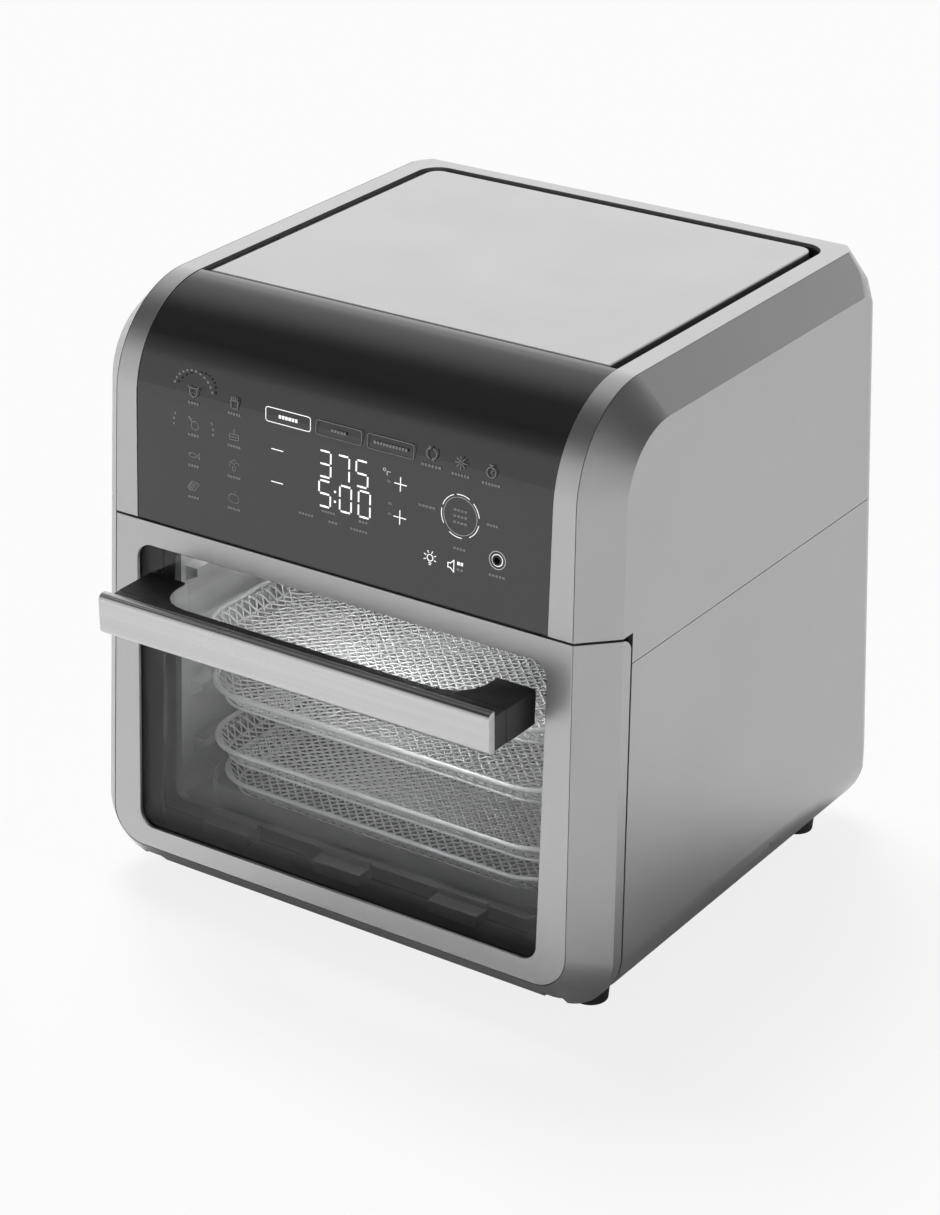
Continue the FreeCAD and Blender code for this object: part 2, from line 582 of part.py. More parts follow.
def handle_parts():
    y0 = -DEPTH / 2
    z0, z1 = BAR_Z
    bar = box(-BAR_HALF, BAR_HALF, y0, y0 + BAR_DEPTH, z0, z1)
    edges = [e for e in bar.Edges if e.Length > 50 and e.Vertexes[0].Y < y0 + 1]
    parts = {"handle_bar": bar.makeFillet(4.0, edges)}
    for name, sx in (("handle_post_left", -1), ("handle_post_right", 1)):
        yb = y0 + BAR_DEPTH
        yf = front_y(POST_Z[1]) + 12
        curve = [(POST_IN - 22 + 22 * math.sin(math.radians(a)), yb + 22 - 22 * math.cos(math.radians(a)))
                 for a in range(0, 91, 15)]
        pts = [(sx * x, y) for x, y in [(BAR_HALF - 0.5, yb)] + curve + [(POST_IN, yf), (BAR_HALF - 0.5, yf)]]
        post = prism_z(pts, *POST_Z)
        post = post.cut(slab(WALL, 60, 200, POST_Z[0] - 5, POST_Z[1] + 5))
        x, z = sx * BOLT_X, BOLT_Z
        glass_y = front_y(z) + WALL
        parts[name] = post.cut(rod(2.5, V(x, glass_y - 14, z), V(x, glass_y + 5, z)))
        rear = glass_y + GLASS
        screw = rod(2.5, V(x, glass_y - 13.5, z), V(x, rear + 1, z))
        head = rod(5.0, V(x, rear + 0.5, z), V(x, rear + 4, z))
        parts[name.replace("post", "screw")] = screw.fuse(head)
    return parts


def hinge_parts():
    parts = {}
    for side, sx in (("left", -1), ("right", 1)):
        x = sx * HINGE_X
        pin = rod(PIN_R, V(x - sx * 9.5, HINGE_Y, HINGE_Z), V(x + sx * 4.2, HINGE_Y, HINGE_Z))
        a, b = sorted((x - sx * 6.0, x - sx * 9.5))
        arm = box(a, b, HINGE_Y - 4, front_y(50) + 22, HINGE_Z - 5, 31).fuse(
            slab(18.5, 22.0, 200, 31, 60).common(box(a, b, -300, 0, 0, 100)))
        arm = arm.common(box(-300, 300, -300, front_y(20) + 21.9, 0, 100))
        parts[f"hinge_arm_{side}"] = arm.fuse(pin)
        top = HINGE_Z + 5.5
        plate_ = box(x - 2.2, x + 2.2, HINGE_Y - 5.5, HINGE_Y + 28, HINGE_Z - 5.5, top)
        plate_ = plate_.fuse(box(x - 2.2, x + 2.2, HINGE_Y + 18, HINGE_Y + 58, BASE_Z + 2, top))
        parts[f"hinge_bracket_{side}"] = plate_.cut(
            rod(PIN_R + SHAFT_FIT, V(x - 10, HINGE_Y, HINGE_Z), V(x + 10, HINGE_Y, HINGE_Z)))
    return parts


def basket(z, half, y0, y1):
    """Mesh basket: a round-wire rim, a shallow wall and a floor of diamond openings."""
    path = rounded(-half + RIM_R, half - RIM_R, y0 + RIM_R, y1 - RIM_R, TRAY_R)
    path.translate(V(0, 0, z))
    start = path.Edges[0].Vertexes[0].Point
    ring = Part.Wire([Part.makeCircle(RIM_R, start, path.Edges[0].tangentAt(path.Edges[0].FirstParameter))])
    rim = path.makePipeShell([ring], True, True)
    floor = z - BASKET_DEPTH
    e = RIM_R + 4.5
    wall = plate(-half + e, half - e, y0 + e, y1 - e, TRAY_R - 3, floor, z + 0.5)
    wall = wall.cut(plate(-half + e + MESH_T, half - e - MESH_T, y0 + e + MESH_T, y1 - e - MESH_T,
                          TRAY_R - 3 - MESH_T, floor + MESH_T, z + 5))
    lip = plate(-half + RIM_R, half - RIM_R, y0 + RIM_R, y1 - RIM_R, TRAY_R, z - 0.8, z + 0.5)
    e += 0.5
    lip = lip.cut(plate(-half + e, half - e, y0 + e, y1 - e, TRAY_R - 3.5, z - 5, z + 5))
    holes = []
    p, q = MESH_PITCH / 2, 5.6
    ny = int((y1 - y0 - 50) / p / 2)
    nx = int((2 * half - 50) / p / 2)
    yc = (y0 + y1) / 2
    for i in range(-nx, nx + 1):
        for j in range(-ny, ny + 1):
            if (i + j) % 2 == 0:
                x, y = i * p, yc + j * p
                holes.append(prism_z([(x - q, y), (x, y - q), (x + q, y), (x, y + q)], floor - 1, floor + 3))
    return rim.fuse([wall, lip]).cut(Part.makeCompound(holes))


def drip_pan():
    half, y0, y1 = TRAY_HALF - 1.0, TRAY_Y[0] - 4.0, TRAY_Y[1] + 4
    z0, z1 = CAV_FLOOR + RUN, 63.0
    s = plate(-half, half, y0, y1, TRAY_R, z0, z1)
    return s.cut(plate(-half + PAN_WALL, half - PAN_WALL, y0 + PAN_WALL, y1 - PAN_WALL,
                       TRAY_R - PAN_WALL, z0 + PAN_WALL, z1 + 1))


def trays():
    parts = {}
    for i, z in enumerate(reversed(RAIL_Z[:3])):
        rest = z + RAIL_H / 2 - 4 + RUN
        parts[f"mesh_tray_{i + 1}"] = basket(rest + RIM_R, TRAY_HALF, *TRAY_Y)
    low = CAV_FLOOR + RUN + PAN_WALL + BASKET_DEPTH
    parts["mesh_tray_4"] = basket(low, TRAY_HALF - 5.0, TRAY_Y[0] + 2, TRAY_Y[1] - 2)
    parts["drip_pan"] = drip_pan()
    return parts


def build():
    parts = {"front_top_frame": front_top_frame(), "control_fascia": control_fascia(),
             "top_recess": top_recess(), "top_plate": top_plate(), "base_plate": base_plate(),
             "mouth_bezel": mouth_bezel(), "door_gasket": door_gasket(), "cavity_floor": cavity_floor(),
             "cavity_left": cavity_side(-1), "cavity_right": cavity_side(1), "cavity_rear": cavity_rear(),
             "cavity_ceiling": cavity_ceiling(), "heating_element": heating_element(),
             "element_guard": element_guard(), "motor_bridge": motor_bridge(), "fan_motor": fan_motor(),
             "fan_shaft": fan_shaft(), "convection_fan": bladed(CAV_TOP - 12.5, 10.0, FAN_R, 12, 10.0),
             "cooling_fan": bladed(CAV_TOP + 60, 10.0, FAN_R - 20, 9, 9.0),
             "temperature_sensor": temperature_sensor(),
             "fascia_sill": fascia_sill(), "rear_grille": rear_grille(), "cord_gland": cord_gland()}
    for row, y in (("front", FOOT[1]), ("rear", FOOT[2])):
        for side, sx in (("left", -1), ("right", 1)):
            parts[f"foot_{row}_{side}"] = foot(sx * FOOT[0], y)
    for group in (housings(), spit_drive(), lamp(), electronics(), door_parts(), handle_parts(),
                  hinge_parts(), trays()):
        parts.update(group)
    return parts


os.makedirs("parts", exist_ok=True)
for part_name, shape in build().items():
    shape.exportStep(f"parts/{part_name}.step")
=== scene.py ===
"""A counter-top rotisserie oven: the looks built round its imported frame."""
import json
import math

import bmesh
import bpy
from mathutils import Matrix, Vector


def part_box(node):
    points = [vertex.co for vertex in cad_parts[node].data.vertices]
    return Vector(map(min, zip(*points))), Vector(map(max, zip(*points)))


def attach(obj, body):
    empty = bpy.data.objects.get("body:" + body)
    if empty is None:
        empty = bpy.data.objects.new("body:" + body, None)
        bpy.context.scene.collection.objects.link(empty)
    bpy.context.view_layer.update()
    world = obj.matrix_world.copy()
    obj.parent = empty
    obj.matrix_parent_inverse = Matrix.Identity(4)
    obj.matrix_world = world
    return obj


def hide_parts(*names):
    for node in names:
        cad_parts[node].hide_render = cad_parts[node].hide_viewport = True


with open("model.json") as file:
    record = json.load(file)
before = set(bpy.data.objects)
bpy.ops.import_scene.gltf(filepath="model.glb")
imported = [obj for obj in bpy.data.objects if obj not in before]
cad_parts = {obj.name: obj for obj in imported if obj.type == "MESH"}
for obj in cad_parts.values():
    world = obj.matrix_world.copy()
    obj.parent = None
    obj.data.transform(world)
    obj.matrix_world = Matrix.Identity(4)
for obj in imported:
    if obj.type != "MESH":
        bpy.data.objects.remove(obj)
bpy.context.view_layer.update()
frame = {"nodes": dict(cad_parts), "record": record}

MM = 0.001
SCENE = bpy.context.scene
Z = Vector((0, 0, 1))

# ---------------------------------------------------------------- camera, light and floor

CAMERA_TURN, CAMERA_RISE, CAMERA_ROLL = 34.72, 25.58, -0.375
CAMERA_PLACE = (1.01176, -1.46461, 1.01897)
CAMERA_LENS, SENSOR_WIDTH = 97.94, 36


def aim(obj, place, target):
    """Puts a lamp or camera at a place, looking at a target."""
    obj.location = place
    obj.rotation_euler = (Vector(target) - Vector(place)).to_track_quat("-Z", "Y").to_euler()
    SCENE.collection.objects.link(obj)
    return obj


def make_camera():
    """The viewing angle: turned to the right, raised and rolled a little, in degrees."""
    data = bpy.data.cameras.new("studio_camera")
    data.lens = CAMERA_LENS
    data.sensor_width = SENSOR_WIDTH
    data.clip_start, data.clip_end = 0.05, 60
    camera = bpy.data.objects.new("studio_camera", data)
    turn, rise = math.radians(CAMERA_TURN), math.radians(CAMERA_RISE)
    back = Vector((math.sin(turn) * math.cos(rise), -math.cos(turn) * math.cos(rise), math.sin(rise)))
    aim(camera, CAMERA_PLACE, Vector(CAMERA_PLACE) - back)
    camera.rotation_euler.rotate_axis("Z", math.radians(CAMERA_ROLL))
    SCENE.camera = camera


def lamp(name, place, target, size, power):
    """A soft rectangular lamp, itself out of sight."""
    data = bpy.data.lights.new(name, "AREA")
    data.shape = "RECTANGLE"
    data.size, data.size_y = size
    data.energy = power
    obj = aim(bpy.data.objects.new(name, data), place, target)
    obj.visible_camera = False


def sun(name, place, strength, spread):
    """An even wash over the whole floor that leaves no glint of its own."""
    data = bpy.data.lights.new(name, "SUN")
    data.energy = strength
    data.angle = math.radians(spread)
    obj = aim(bpy.data.objects.new(name, data), place, (0, 0, 0))
    obj.visible_glossy = False


make_camera()
SCENE.view_settings.view_transform = "Standard"
SCENE.view_settings.look = "None"

# ---------------------------------------------------------------- node helpers


def put(tree, kind, settings=None, **sockets):
    """Adds a node. Settings are its own properties; sockets take a value or another socket, and i2 is the third one."""
    node = tree.nodes.new(kind)
    for name, value in (settings or {}).items():
        setattr(node, name, value)
    for name, value in sockets.items():
        numbered = name[0] == "i" and name[1:].isdigit()
        socket = node.inputs[int(name[1:]) if numbered else name.replace("_", " ")]
        if isinstance(value, bpy.types.NodeSocket):
            tree.links.new(value, socket)
        else:
            socket.default_value = value
    return node


def effect(name, inputs, outputs):
    """An empty shader group with named inputs and outputs."""
    tree = bpy.data.node_groups.new(name, "ShaderNodeTree")
    for label, kind, value in inputs:
        tree.interface.new_socket(label, in_out="INPUT", socket_type=kind).default_value = value
    for label in outputs:
        tree.interface.new_socket(label, in_out="OUTPUT", socket_type="NodeSocketFloat")
    return tree, tree.nodes.new("NodeGroupInput").outputs, tree.nodes.new("NodeGroupOutput").inputs


FLOAT, VECTOR = "NodeSocketFloat", "NodeSocketVector"


def stipple_effect():
    """The fine orange-peel and flake of sprayed paint and moulded plastic."""
    tree, given, out = effect("stipple", [("Size", FLOAT, 1400.0), ("Drift", FLOAT, 9.0)], ["Height", "Tone"])
    place = put(tree, "ShaderNodeTexCoord").outputs["Object"]
    fine = put(tree, "ShaderNodeTexNoise", Vector=place, Scale=given["Size"], Detail=2.0, Roughness=0.6)
    wide = put(tree, "ShaderNodeTexNoise", Vector=place, Scale=given["Drift"], Detail=3.0, Roughness=0.55)
    part = put(tree, "ShaderNodeMath", {"operation": "MULTIPLY"}, i0=fine.outputs[0], i1=0.55)
    tone = put(tree, "ShaderNodeMath", {"operation": "MULTIPLY_ADD"}, i0=wide.outputs[0], i1=0.45, i2=part.outputs[0])
    tree.links.new(fine.outputs[0], out["Height"])
    tree.links.new(tone.outputs[0], out["Tone"])
    return tree


def brushing_effect():
    """Long fine lines along one direction, as a belt leaves on sheet metal."""
    tree, given, out = effect("brushing", [("Stretch", VECTOR, (12.0, 900.0, 900.0))], ["Height", "Tone"])
    place = put(tree, "ShaderNodeTexCoord").outputs["Object"]
    long = put(tree, "ShaderNodeVectorMath", {"operation": "MULTIPLY"}, i0=place, i1=given["Stretch"])
    lines = put(tree, "ShaderNodeTexNoise", Vector=long.outputs[0], Scale=1.0, Detail=4.0, Roughness=0.7)
    broad = put(tree, "ShaderNodeTexNoise", Vector=long.outputs[0], Scale=0.16, Detail=2.0, Roughness=0.5)
    part = put(tree, "ShaderNodeMath", {"operation": "MULTIPLY"}, i0=broad.outputs[0], i1=0.5)
    tone = put(tree, "ShaderNodeMath", {"operation": "MULTIPLY_ADD"}, i0=lines.outputs[0], i1=0.5, i2=part.outputs[0])
    tree.links.new(lines.outputs[0], out["Height"])
    tree.links.new(tone.outputs[0], out["Tone"])
    return tree


def handling_effect():
    """Where hands and cloths have been: broad soft marks that shift the gloss between two values."""
    tree, given, out = effect("handling", [("Low", FLOAT, 0.3), ("High", FLOAT, 0.4), ("Size", FLOAT, 14.0)], ["Value"])
    place = put(tree, "ShaderNodeTexCoord").outputs["Object"]
    marks = put(tree, "ShaderNodeTexNoise", Vector=place, Scale=given["Size"], Detail=5.0, Roughness=0.62,
                Distortion=0.6)
    value = put(tree, "ShaderNodeMapRange", Value=marks.outputs[0], i1=0.32, i2=0.7, i3=given["Low"],
                i4=given["High"])
    tree.links.new(value.outputs[0], out["Value"])
    return tree


def settling_effect():
    """Fine dust: more of it on faces that look up, broken up by noise."""
    tree, given, out = effect("settling", [("Amount", FLOAT, 0.1), ("Size", FLOAT, 60.0)], ["Mask"])
    place = put(tree, "ShaderNodeTexCoord").outputs["Object"]
    facing = put(tree, "ShaderNodeSeparateXYZ", i0=put(tree, "ShaderNodeNewGeometry").outputs["Normal"])
    up = put(tree, "ShaderNodeMapRange", Value=facing.outputs["Z"], i1=0.1, i2=1.0, i3=0.25, i4=1.0)
    specks = put(tree, "ShaderNodeTexNoise", Vector=place, Scale=given["Size"], Detail=6.0, Roughness=0.7)
    spread = put(tree, "ShaderNodeMapRange", Value=specks.outputs[0], i1=0.45, i2=0.75, i3=0.0, i4=1.0)
    dusty = put(tree, "ShaderNodeMath", {"operation": "MULTIPLY"}, i0=up.outputs[0], i1=spread.outputs[0])
    mask = put(tree, "ShaderNodeMath", {"operation": "MULTIPLY"}, i0=dusty.outputs[0], i1=given["Amount"])
    tree.links.new(mask.outputs[0], out["Mask"])
    return tree


STIPPLE, BRUSHING, HANDLING, SETTLING = stipple_effect(), brushing_effect(), handling_effect(), settling_effect()


def placed(tree, group, **sockets):
    """Adds one of the shader groups above."""
    return put(tree, "ShaderNodeGroup", {"node_tree": group}, **sockets)


def grey(value, warm=0.0):
    """A grey, or a warmer one, as a colour with its alpha."""
    return (value * (1 + warm), value, value * (1 - warm), 1.0)


def new_material(name):
    """A fresh material, its node tree and its main shader."""
    material = bpy.data.materials.new(name)
    material.use_nodes = True
    tree = material.node_tree
    return material, tree, tree.nodes["Principled BSDF"]


def rising(tree, low, high):
    """A smooth rise from 0 to 1 between two heights in mm."""
    height = put(tree, "ShaderNodeSeparateXYZ", i0=put(tree, "ShaderNodeTexCoord").outputs["Object"])
    return put(tree, "ShaderNodeMapRange", {"interpolation_type": "SMOOTHSTEP"}, Value=height.outputs["Z"],
               i1=low * MM, i2=high * MM).outputs[0]


def blend(tree, factor, dark, light):
    """A colour between two others, each a value or another socket."""
    return put(tree, "ShaderNodeMix", {"data_type": "RGBA"}, Factor=factor, i6=dark, i7=light).outputs[2]


# The first grey is real dust; the second is the near black of a painted shade low down in the oven.
DUST_GREY, PAINTED_SHADE_GREY = grey(0.42, 0.04), grey(0.02)


def surface(name, dark, light, low, high, metallic=0.0, size=1400.0, depth=0.02, strength=0.3, stretch=None, dust=0.06,
            painted_shade=None, **constants):
    """A finish: tone between dark and light, roughness between low and high, and a fine relief of a depth in mm.

    Stretch draws brushed lines in place of stipple, and the shade pair (low, high) gives the heights in mm between
    which a painted shade, near black at the bottom and darker towards the bottom, clears."""
    material, tree, shader = new_material(name)
    if stretch:
        relief = placed(tree, BRUSHING, Stretch=stretch)
    else:
        relief = placed(tree, STIPPLE, Size=size)
    tone = put(tree, "ShaderNodeMapRange", Value=relief.outputs["Tone"], i1=0.3, i2=0.7)
    paint = blend(tree, tone.outputs[0], dark, light)
    colour = blend(tree, placed(tree, SETTLING, Amount=dust).outputs[0], paint, DUST_GREY)
    # Painted shade: the colour darkens to near black towards the bottom, standing in for shade low in the oven.
    if painted_shade:
        colour = blend(tree, rising(tree, *painted_shade), PAINTED_SHADE_GREY, colour)
    tree.links.new(colour, shader.inputs["Base Color"])
    gloss = placed(tree, HANDLING, Low=low, High=high)
    tree.links.new(gloss.outputs[0], shader.inputs["Roughness"])
    bump = put(tree, "ShaderNodeBump", Strength=strength, Distance=depth * MM, Height=relief.outputs["Height"])
    tree.links.new(bump.outputs[0], shader.inputs["Normal"])
    shader.inputs["Metallic"].default_value = metallic
    for label, value in constants.items():
        shader.inputs[label.replace("_", " ")].default_value = value
    return material


GLASS_INDEX = 1.3


def glass(name, tint, fade=None, shine=0.5):
    """Clear sheet; fade is the (low, high) pair of heights in mm between which a black print thins out."""
    material, tree, shader = new_material(name)
    gloss = placed(tree, HANDLING, Low=0.0, High=0.012, Size=9.0)
    tree.links.new(gloss.outputs[0], shader.inputs["Roughness"])
    shader.inputs["Transmission Weight"].default_value = 1.0
    shader.inputs["IOR"].default_value = GLASS_INDEX
    shader.inputs["Specular IOR Level"].default_value = shine
    shader.inputs["Base Color"].default_value = tint
    if fade:
        clear_above = rising(tree, *fade)
        tree.links.new(blend(tree, clear_above, grey(0.0), tint), shader.inputs["Base Color"])
        mirror = put(tree, "ShaderNodeMath", {"operation": "MULTIPLY"}, i0=clear_above, i1=shine)
        tree.links.new(mirror.outputs[0], shader.inputs["Specular IOR Level"])
    path = put(tree, "ShaderNodeLightPath")
    passing = put(tree, "ShaderNodeMath", {"operation": "MAXIMUM"}, i0=path.outputs["Is Shadow Ray"],
                  i1=path.outputs["Is Diffuse Ray"])
    clear = put(tree, "ShaderNodeBsdfTransparent", Color=tint)
    both = put(tree, "ShaderNodeMixShader", i0=passing.outputs[0], i1=shader.outputs[0], i2=clear.outputs[0])
    tree.links.new(both.outputs[0], tree.nodes["Material Output"].inputs[0])
    return material


def glowing(name, tone, power):
    """A lit or printed mark on the fascia: an even tone with a faint glow of its own."""
    material, tree, shader = new_material(name)
    patch = placed(tree, STIPPLE, Size=2600.0)
    ink = blend(tree, patch.outputs["Tone"], grey(tone * 0.92), grey(tone))
    tree.links.new(ink, shader.inputs["Base Color"])
    tree.links.new(ink, shader.inputs["Emission Color"])
    shader.inputs["Emission Strength"].default_value = power
    gloss = placed(tree, HANDLING, Low=0.3, High=0.45)
    tree.links.new(gloss.outputs[0], shader.inputs["Roughness"])
    return material


FINISH = {
    "light_paint": surface("satin_silver_paint", grey(0.49), grey(0.53), 0.32, 0.35, metallic=0.9, size=1700.0),
    "body_paint": surface("satin_steel_grey_paint", grey(0.40), grey(0.44), 0.32, 0.36, metallic=0.9, size=1500.0,
                          strength=0.4),
    "fascia_gloss": surface("gloss_black_fascia", grey(0.018), grey(0.022), 0.05, 0.09, size=500.0, depth=0.004,
                            strength=0.1, dust=0.004, Coat_Weight=0.6, Coat_Roughness=0.04),
    "black_plastic": surface("black_moulded_plastic", grey(0.012), grey(0.02), 0.34, 0.46, size=1900.0, depth=0.03),
    "zinc_plate": surface("zinc_plated_sheet", grey(0.42), grey(0.58), 0.28, 0.42, metallic=1.0,
                          stretch=(14.0, 700.0, 700.0)),
    "foot_rubber": surface("foot_rubber", grey(0.012), grey(0.02), 0.55, 0.72, size=1100.0, depth=0.05, dust=0.2),
    # The bezel and the cavity steel carry a painted shade that darkens them towards the bottom.
    "bezel_metal": surface("bezel_grey_steel", grey(0.30), grey(0.38), 0.26, 0.36, metallic=0.9,
                           stretch=(700.0, 700.0, 16.0), painted_shade=(56, 104)),
    "seal_rubber": surface("door_seal_rubber", grey(0.02), grey(0.035), 0.5, 0.65, size=1300.0, depth=0.04),
    "cavity_steel": surface("cavity_stainless", grey(0.55), grey(0.68), 0.32, 0.42, metallic=0.75, strength=0.2,
                            stretch=(30.0, 20.0, 900.0), painted_shade=(58, 112)),
    "element_dark": surface("heating_rod_scale", grey(0.05), grey(0.11), 0.45, 0.6, metallic=0.6, size=800.0,
                            depth=0.05),
    "motor_case": surface("motor_case_paint", grey(0.10), grey(0.14), 0.4, 0.5, metallic=0.3),
    "bright_steel": surface("turned_steel", grey(0.58), grey(0.68), 0.16, 0.26, metallic=1.0,
                            stretch=(900.0, 900.0, 40.0)),
    "fan_aluminium": surface("pressed_aluminium", grey(0.52), grey(0.62), 0.32, 0.44, metallic=1.0,
                             stretch=(500.0, 30.0, 500.0)),
    "lamp_glass": glass("lamp_glass_clear", (0.95, 0.94, 0.9, 1.0)),
    "board_green": surface("circuit_board_lacquer", (0.008, 0.06, 0.022, 1), (0.012, 0.085, 0.03, 1), 0.3, 0.4,
                           size=700.0),
    "display_dark": surface("display_dark_window", grey(0.012), grey(0.018), 0.1, 0.2, size=600.0),
    "door_glass": glass("door_outer_glass", (0.96, 0.965, 0.965, 1.0), fade=(45, 60), shine=0.2),
    "handle_metal": surface("handle_brushed_steel", grey(0.56), grey(0.66), 0.26, 0.34, metallic=1.0, depth=0.012,
                            stretch=(9.0, 800.0, 1100.0)),
    "wire_chrome": surface("tray_wire_chrome", grey(0.66), grey(0.76), 0.36, 0.46, metallic=0.5, size=900.0,
                           depth=0.01),
    "pan_enamel": surface("drip_pan_enamel", grey(0.014), grey(0.018), 0.28, 0.34, size=420.0, depth=0.004,
                          strength=0.1, dust=0.002),
}
INNER_GLASS = glass("door_inner_glass", (0.95, 0.955, 0.955, 1.0), shine=0.08)
PRINT_BRIGHT, PRINT_DIM = glowing("lit_mark", 0.9, 0.75), glowing("dim_mark", 0.22, 0.12)
PRINT_MID = glowing("half_lit_mark", 0.5, 0.4)

# ---------------------------------------------------------------- pieces

RECORD = frame["record"]
SLOT_OF = {part["node"]: part["material_slot"] for part in RECORD["subparts"]}
BODY_OF = {node: body for body, nodes in RECORD["behaviour"]["bodies"].items() for node in nodes}


def piece(name, bm, body, slot, material=None, replaces=(), crease=35.0, outward=True):
    """Makes a finished bmesh an object in place, riding on a body and taking a slot's finish."""
    if outward:
        bmesh.ops.recalc_face_normals(bm, faces=bm.faces)
    mesh = bpy.data.meshes.new(name)
    bm.to_mesh(mesh)
    bm.free()
    mesh.shade_smooth()
    mesh.set_sharp_from_angle(angle=math.radians(crease))
    mesh.materials.append(material or FINISH[slot])
    obj = bpy.data.objects.new(name, mesh)
    SCENE.collection.objects.link(obj)
    if crease < 180:
        even = obj.modifiers.new("flat_faces", "WEIGHTED_NORMAL")
        even.keep_sharp = True
    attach(obj, body)
    if replaces:
        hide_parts(*replaces)
    return obj


def merged(node):
    """A CAD node's mesh as a closed bmesh of whole faces."""
    bm = bmesh.new()
    bm.from_mesh(frame["nodes"][node].data)
    bmesh.ops.remove_doubles(bm, verts=bm.verts, dist=0.004 * MM)
    bmesh.ops.dissolve_limit(bm, angle_limit=math.radians(0.4), verts=bm.verts, edges=bm.edges)
    return bm


def soften(bm, edges, radius, segments=2):
    """Rounds edges to a radius in mm."""
    bmesh.ops.bevel(bm, geom=edges, offset=radius * MM, offset_type="OFFSET", segments=segments, profile=0.5,
                    affect="EDGES", clamp_overlap=True, material=-1)


EASED_ABOVE = math.radians(28)
EDGE_RADIUS = {"top_plate": 0.9, "handle_post_left": 0.8, "handle_post_right": 0.8}


def ease(node, radius=0.5):
    """Replaces a CAD node with a copy of itself whose sharp edges are rounded."""
    bm = merged(node)
    sharp = [e for e in bm.edges if e.is_manifold and e.calc_face_angle() > EASED_ABOVE and e.calc_length() > 0]
    soften(bm, sharp, EDGE_RADIUS.get(node, radius))
    piece(node + "_eased", bm, BODY_OF[node], SLOT_OF[node], replaces=[node], outward=False)


TRAYS = ["mesh_tray_1", "mesh_tray_2", "mesh_tray_3", "mesh_tray_4"]
REMADE = {*TRAYS, "handle_bar"}
KEPT = {"lamp_bulb", "lamp_cover", "heating_element", "element_guard", "outer_glass", "inner_glass"}
for node, obj in frame["nodes"].items():
    for holder in obj.material_slots:
        holder.material = INNER_GLASS if node == "inner_glass" else FINISH[SLOT_OF[node]]
    if node not in KEPT and node not in REMADE:
        ease(node)


def swept(bm, edges, moves):
    """Drags an edge loop along straight runs, given as (x, y, z), and turns, given as (centre, angle, steps, axis)."""
    for move in moves:
        if len(move) == 3:
            made = bmesh.ops.extrude_edge_only(bm, edges=edges)["geom"]
            bmesh.ops.translate(bm, verts=[g for g in made if isinstance(g, bmesh.types.BMVert)], vec=move)
        else:
            centre, angle, steps, axis = move
            made = bmesh.ops.spin(bm, geom=edges, cent=centre, axis=axis, angle=math.radians(angle),
                                  steps=steps)["geom_last"]
        edges = [g for g in made if isinstance(g, bmesh.types.BMEdge)]


# ---------------------------------------------------------------- handle

LOW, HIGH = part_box("handle_bar")
POST_LOW, POST_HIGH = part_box("handle_post_right")
CLAD_DEPTH = 6.2 * MM
CORE_INSET = 0.8 * MM           # the core's ends behind the steel face's
LINING_INSET = 1.2 * MM         # the lining's edges inside the core's
LINING_RUN, LINING_SHEET = 8 * MM, 0.6 * MM
POST_FACE, POST_FILLET = HIGH.x - 26 * MM, 22 * MM
CLOSE, WELD = 0.1 * MM, 0.02 * MM


def span(bm, low, high):
    """A box between two corners."""
    low, high = Vector(low), Vector(high)
    place = Matrix.Translation((low + high) / 2) @ Matrix.Diagonal((*(high - low), 1))
    bmesh.ops.create_cube(bm, size=1.0, matrix=place)


def handle():
    """A brushed steel face wrapped over a black core, with a bright strip lining the back of the grip."""
    face = bmesh.new()
    span(face, LOW, (HIGH.x, LOW.y + CLAD_DEPTH, HIGH.z))
    front = [e for e in face.edges if all(v.co.y < LOW.y + CLOSE for v in e.verts)]
    soften(face, [e for e in front if e.calc_length() > (HIGH.x - LOW.x) / 2], 4.0, 6)
    ends = [e for e in face.edges if all(abs(abs(v.co.x) - HIGH.x) < CLOSE for v in e.verts)]
    soften(face, ends, 0.7)
    piece("handle_steel_face", face, "door", "handle_metal", replaces=["handle_bar"])

    core = bmesh.new()
    span(core, (LOW.x + CORE_INSET, LOW.y + CLAD_DEPTH, POST_LOW.z), (HIGH.x - CORE_INSET, HIGH.y, POST_HIGH.z))
    soften(core, core.edges[:], 0.6)
    piece("handle_core", core, "door", "black_plastic")

    lining = bmesh.new()
    back = POST_LOW.y + POST_FILLET + LINING_RUN
    ends = [lining.verts.new((-POST_FACE, back, z)) for z in (POST_LOW.z + LINING_INSET, POST_HIGH.z - LINING_INSET)]
    half, turning = POST_FACE - POST_FILLET, HIGH.y + POST_FILLET
    swept(lining, [lining.edges.new(ends)], [
        (0, turning - back, 0), ((-half, turning, 0), 90, 8, Z),
        (2 * half, 0, 0), ((half, turning, 0), 90, 8, Z),
        (0, back - turning, 0)])
    bmesh.ops.remove_doubles(lining, verts=lining.verts, dist=WELD)
    bmesh.ops.recalc_face_normals(lining, faces=lining.faces)
    bmesh.ops.solidify(lining, geom=lining.faces[:], thickness=LINING_SHEET)
    piece("handle_lining", lining, "door", "handle_metal")


handle()

# ---------------------------------------------------------------- trays


